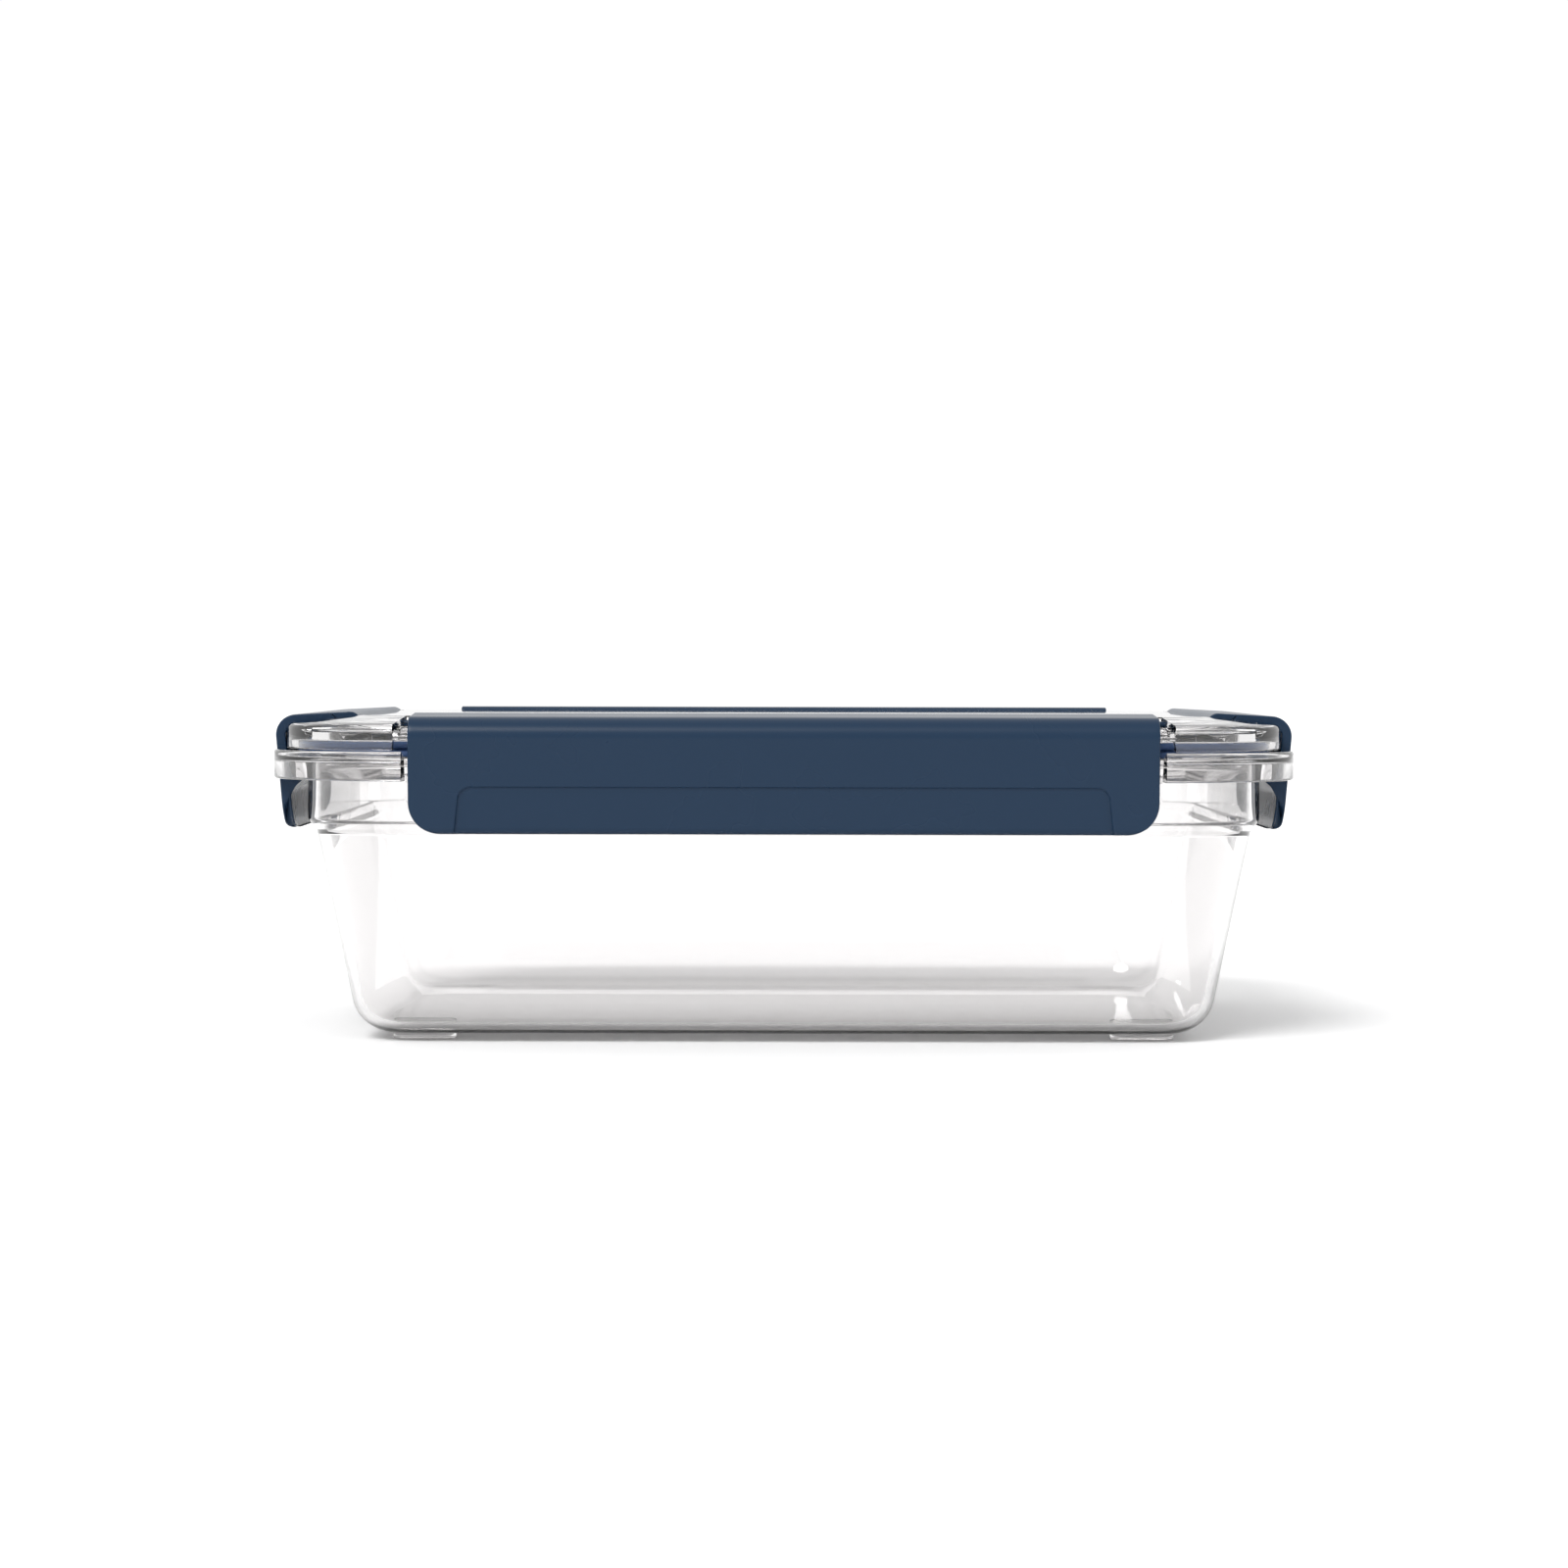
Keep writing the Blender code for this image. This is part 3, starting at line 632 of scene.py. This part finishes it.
def seal_section():
    """The seal's closed section: a strip with two round lips that face out."""
    t = bpy.context.scene.tub_sizes
    d = bpy.context.scene.lid_sizes
    outer = t.rim_length / 2 - SEAL_HIGH[0]
    inner = t.collar_inset + t.wall + d.plug_gap - d.seal_gap
    low, high = SEAL_LOW[2], SEAL_HIGH[2]
    lip = 1.5 * MM
    back = outer + 1.4 * MM
    corners = [(inner, high, 0.4 * MM), (outer, high, 0.6 * MM), (outer, high - lip, 0.6 * MM)]
    corners += [(back, high - lip - 0.2 * MM, 0.2 * MM), (back, low + lip + 0.2 * MM, 0.2 * MM)]
    corners += [(outer, low + lip, 0.6 * MM), (outer, low, 0.6 * MM), (inner, low, 0.4 * MM)]
    return turn_corners(corners, 7, closed=True)


# Materials


def linear(hex_colour):
    """An sRGB hex colour as linear RGBA."""
    channel = np.array([int(hex_colour[k : k + 2], 16) for k in (0, 2, 4)]) / 255
    low = channel / 12.92
    high = ((channel + 0.055) / 1.055) ** 2.4
    return (*np.where(channel <= 0.04045, low, high).tolist(), 1.0)


def add_node(tree, kind, settings=(), values=(), links=()):
    """Adds one node with its settings, its input values and the sockets that feed it."""
    node = tree.nodes.new(kind)
    for name, value in dict(settings).items():
        setattr(node, name, value)
    for name, value in dict(values).items():
        node.inputs[name].default_value = value
    for name, socket in dict(links).items():
        tree.links.new(socket, node.inputs[name])
    return node


def new_material(name):
    """An empty material, its node tree, its object coordinates and its output."""
    made = bpy.data.materials.new(name)
    made.use_nodes = True
    tree = made.node_tree
    tree.nodes.clear()
    place = add_node(tree, "ShaderNodeTexCoord").outputs["Object"]
    output = add_node(tree, "ShaderNodeOutputMaterial")
    return made, tree, place, output


def clear_copolyester(name, colour):
    """Injection-moulded clear copolyester, polished.

    The eye reads it by its edges and by soft waves: it is nearly colourless, bends light strongly
    at every edge, and its faces wander by a few microns over centimetres where the melt cooled.
    """
    made, tree, place, output = new_material(name)
    flow = add_node(tree, "ShaderNodeTexNoise", values={"Scale": 1 / (28 * MM), "Detail": 1.0},
                    links={"Vector": place})
    wave = add_node(tree, "ShaderNodeBump", values={"Strength": 0.12, "Distance": 0.05 * MM},
                    links={"Height": flow.outputs["Fac"]})
    haze = add_node(tree, "ShaderNodeTexNoise", values={"Scale": 1 / (6 * MM), "Detail": 4.0},
                    links={"Vector": place})
    rough = add_node(tree, "ShaderNodeMapRange", values={"To Min": 0.0, "To Max": 0.03},
                     links={"Value": haze.outputs["Fac"]})
    shader = add_node(tree, "ShaderNodeBsdfPrincipled",
                      values={"Base Color": linear(colour), "IOR": 1.56, "Transmission Weight": 1.0},
                      links={"Roughness": rough.outputs["Result"], "Normal": wave.outputs["Normal"]})
    tree.links.new(shader.outputs["BSDF"], output.inputs["Surface"])
    return made


def satin_abs(name, colour):
    """Injection-moulded ABS from a fine-textured tool.

    It gives a deep body colour under an even satin sheen, with a grain a third of a millimetre
    across that only breaks up the edges of highlights.
    """
    made, tree, place, output = new_material(name)
    grain = add_node(tree, "ShaderNodeTexNoise", values={"Scale": 1 / (0.35 * MM), "Detail": 2.0},
                     links={"Vector": place})
    bump = add_node(tree, "ShaderNodeBump", values={"Strength": 0.06, "Distance": 0.01 * MM},
                    links={"Height": grain.outputs["Fac"]})
    cloud = add_node(tree, "ShaderNodeTexNoise", values={"Scale": 1 / (22 * MM), "Detail": 3.0},
                     links={"Vector": place})
    rough = add_node(tree, "ShaderNodeMapRange", values={"To Min": 0.24, "To Max": 0.32},
                     links={"Value": cloud.outputs["Fac"]})
    shader = add_node(tree, "ShaderNodeBsdfPrincipled",
                      values={"Base Color": linear(colour), "IOR": 1.53, "Specular IOR Level": 0.16},
                      links={"Roughness": rough.outputs["Result"], "Normal": bump.outputs["Normal"]})
    tree.links.new(shader.outputs["BSDF"], output.inputs["Surface"])
    return made


def silicone_rubber(name, colour):
    """Moulded silicone: a soft, slightly dusty sheen over an even body colour."""
    made, tree, place, output = new_material(name)
    bloom = add_node(tree, "ShaderNodeTexNoise", values={"Scale": 1 / (4 * MM), "Detail": 5.0},
                     links={"Vector": place})
    rough = add_node(tree, "ShaderNodeMapRange", values={"To Min": 0.42, "To Max": 0.6},
                     links={"Value": bloom.outputs["Fac"]})
    shader = add_node(tree, "ShaderNodeBsdfPrincipled",
                      values={"Base Color": linear(colour), "IOR": 1.41},
                      links={"Roughness": rough.outputs["Result"]})
    tree.links.new(shader.outputs["BSDF"], output.inputs["Surface"])
    return made


def matt_floor(name, colour):
    """Seamless white studio paper: matt, with a faint pulp mottle."""
    made, tree, place, output = new_material(name)
    pulp = add_node(tree, "ShaderNodeTexNoise", values={"Scale": 1 / (60 * MM), "Detail": 3.0},
                    links={"Vector": place})
    rough = add_node(tree, "ShaderNodeMapRange", values={"To Min": 0.85, "To Max": 0.95},
                     links={"Value": pulp.outputs["Fac"]})
    shader = add_node(tree, "ShaderNodeBsdfPrincipled",
                      values={"Base Color": linear(colour), "Specular IOR Level": 0.2},
                      links={"Roughness": rough.outputs["Result"]})
    tree.links.new(shader.outputs["BSDF"], output.inputs["Surface"])
    return made


# Operators


class FOODBOX_OT_tub(bpy.types.Operator):
    """Builds the clear tub with its notched rim flange and moulded feet"""

    bl_idname = "foodbox.tub"
    bl_label = "Tub"

    def execute(self, context):
        corner, latch = tub_sections()
        shapes = [carry_round(corner, latch, context.scene.latch_sizes.end_gap)]
        shapes += [foot_bar(sx, sy, root=0.3 * MM) for sx in (-1, 1) for sy in (-1, 1)]
        piece = new_piece("tub_shell", *join_shapes(shapes))
        plastic = clear_copolyester("clear copolyester tub", context.scene.box_colours.clear)
        finish_piece(piece, "tub", "clear_tub", plastic, "tub")
        return {"FINISHED"}


class FOODBOX_OT_lid(bpy.types.Operator):
    """Builds the clear lid with its latch pockets, plug and seal groove"""

    bl_idname = "foodbox.lid"
    bl_label = "Lid"

    def execute(self, context):
        corner, pocket = lid_sections()
        shape = carry_round(corner, pocket, context.scene.latch_sizes.pocket_gap)
        piece = new_piece("lid_shell", *shape)
        plastic = clear_copolyester("clear copolyester lid", context.scene.box_colours.clear)
        finish_piece(piece, "lid", "clear_lid", plastic, "lid")
        return {"FINISHED"}


class FOODBOX_OT_seal(bpy.types.Operator):
    """Builds the two-lipped seal that sits in the lid's groove"""

    bl_idname = "foodbox.seal"
    bl_label = "Seal"

    def execute(self, context):
        section = seal_section()
        shape = carry_round(section, section, context.scene.latch_sizes.pocket_gap, closed=True)
        piece = new_piece("seal_ring", *shape, sharp=50.0)
        rubber = silicone_rubber("navy silicone", context.scene.box_colours.seal)
        finish_piece(piece, "lid", "navy_rubber", rubber, "gasket")
        return {"FINISHED"}


class FOODBOX_OT_latches(bpy.types.Operator):
    """Builds the four latches with their barrels, stub pins, beads and finger recesses"""

    bl_idname = "foodbox.latches"
    bl_label = "Latches"

    def execute(self, context):
        material = satin_abs("navy satin ABS", context.scene.box_colours.navy)
        for name in LATCHES:
            half = latch_half_length(name)
            points, faces = join_shapes([latch_shape(half), pin_shape(half, 1), pin_shape(half, -1)])
            piece = new_piece(f"{name}_flap", place_latch(name, points), faces)
            finish_piece(piece, name, "navy_plastic", material, name)
        return {"FINISHED"}


class FOODBOX_OT_stage(bpy.types.Operator):
    """Builds the floor, the lights and the camera"""

    bl_idname = "foodbox.stage"
    bl_label = "Stage"

    def execute(self, context):
        scene = context.scene
        s = scene.stage_sizes
        corners = [(x * FLOOR_HALF, y * FLOOR_HALF, 0) for x, y in ((-1, -1), (1, -1), (1, 1), (-1, 1))]
        floor = new_piece("floor", corners, [(0, 1, 2, 3)])
        floor.data.materials.append(matt_floor("white studio paper", scene.box_colours.floor))
        scene.world = studio_walls(s.back_light, s.front_light, s.roof_light)
        scene.view_settings.view_transform = "Standard"
        add_sun(KEY_AIM, s.key_light, KEY_SPREAD)
        camera = bpy.data.objects.new("camera", bpy.data.cameras.new("camera"))
        camera.data.lens = s.lens
        camera.data.clip_start = 0.05
        camera.location = (0.0, -s.distance, s.eye)
        camera.rotation_euler = (math.pi / 2 - s.pitch, s.roll, 0.0)
        scene.collection.objects.link(camera)
        scene.camera = camera
        return {"FINISHED"}


def studio_walls(back, front, overhead):
    """White studio walls: bright behind and overhead, and dimmer in front.

    The strength is the larger of a smooth step from front to back along +Y and a smooth step up
    from the horizon. The dimmer front gives clear edges their grey lines.
    """
    world = bpy.data.worlds.new("white studio")
    world.use_nodes = True
    tree = world.node_tree
    tree.nodes.clear()
    way = add_node(tree, "ShaderNodeTexCoord").outputs["Generated"]
    axes = add_node(tree, "ShaderNodeSeparateXYZ", links={"Vector": way})
    walls = add_node(tree, "ShaderNodeMapRange", {"interpolation_type": "SMOOTHSTEP"},
                     {"From Min": -0.9, "From Max": 0.6, "To Min": front, "To Max": back},
                     {"Value": axes.outputs["Y"]})
    roof = add_node(tree, "ShaderNodeMapRange", {"interpolation_type": "SMOOTHSTEP"},
                    {"From Min": 0.15, "From Max": 0.85, "To Min": 0.0, "To Max": overhead},
                    {"Value": axes.outputs["Z"]})
    both = add_node(tree, "ShaderNodeMath", {"operation": "MAXIMUM"},
                    links={0: walls.outputs["Result"], 1: roof.outputs["Result"]})
    glow = add_node(tree, "ShaderNodeBackground", values={"Color": (1.0, 1.0, 1.0, 1.0)},
                    links={"Strength": both.outputs["Value"]})
    add_node(tree, "ShaderNodeOutputWorld", links={"Surface": glow.outputs["Background"]})
    return world


def add_sun(aim, strength, spread):
    """A soft key light that shines evenly along a direction, from as wide a source as the spread."""
    light = bpy.data.objects.new("key", bpy.data.lights.new("key", "SUN"))
    light.data.energy = strength
    light.data.angle = spread
    away = -np.array(aim) / np.linalg.norm(aim)
    light.rotation_euler = (math.acos(away[2]), 0.0, math.atan2(away[1], away[0]) + math.pi / 2)
    bpy.context.scene.collection.objects.link(light)


class FOODBOX_PT_panel(bpy.types.Panel):
    """Lists the pieces in the sidebar"""

    bl_idname = "FOODBOX_PT_panel"
    bl_label = "Food Container"
    bl_space_type = "VIEW_3D"
    bl_region_type = "UI"
    bl_category = "Food Container"

    def draw(self, context):
        for operator in OPERATORS:
            self.layout.operator(operator.bl_idname)


OPERATORS = (FOODBOX_OT_tub, FOODBOX_OT_lid, FOODBOX_OT_seal, FOODBOX_OT_latches, FOODBOX_OT_stage)
GROUPS = {
    "tub_sizes": TubSizes,
    "lid_sizes": LidSizes,
    "latch_sizes": LatchSizes,
    "box_colours": Colours,
    "stage_sizes": StageSizes,
}


def register():
    for item in (*GROUPS.values(), *OPERATORS, FOODBOX_PT_panel):
        bpy.utils.register_class(item)
    for name, group in GROUPS.items():
        setattr(bpy.types.Scene, name, bpy.props.PointerProperty(type=group))


def unregister():
    for name in GROUPS:
        delattr(bpy.types.Scene, name)
    for item in (FOODBOX_PT_panel, *reversed(OPERATORS), *reversed(GROUPS.values())):
        bpy.utils.unregister_class(item)


def main():
    register()
    bpy.ops.foodbox.tub()
    bpy.ops.foodbox.lid()
    bpy.ops.foodbox.seal()
    bpy.ops.foodbox.latches()
    bpy.ops.foodbox.stage()


if __name__ == "__main__":
    main()
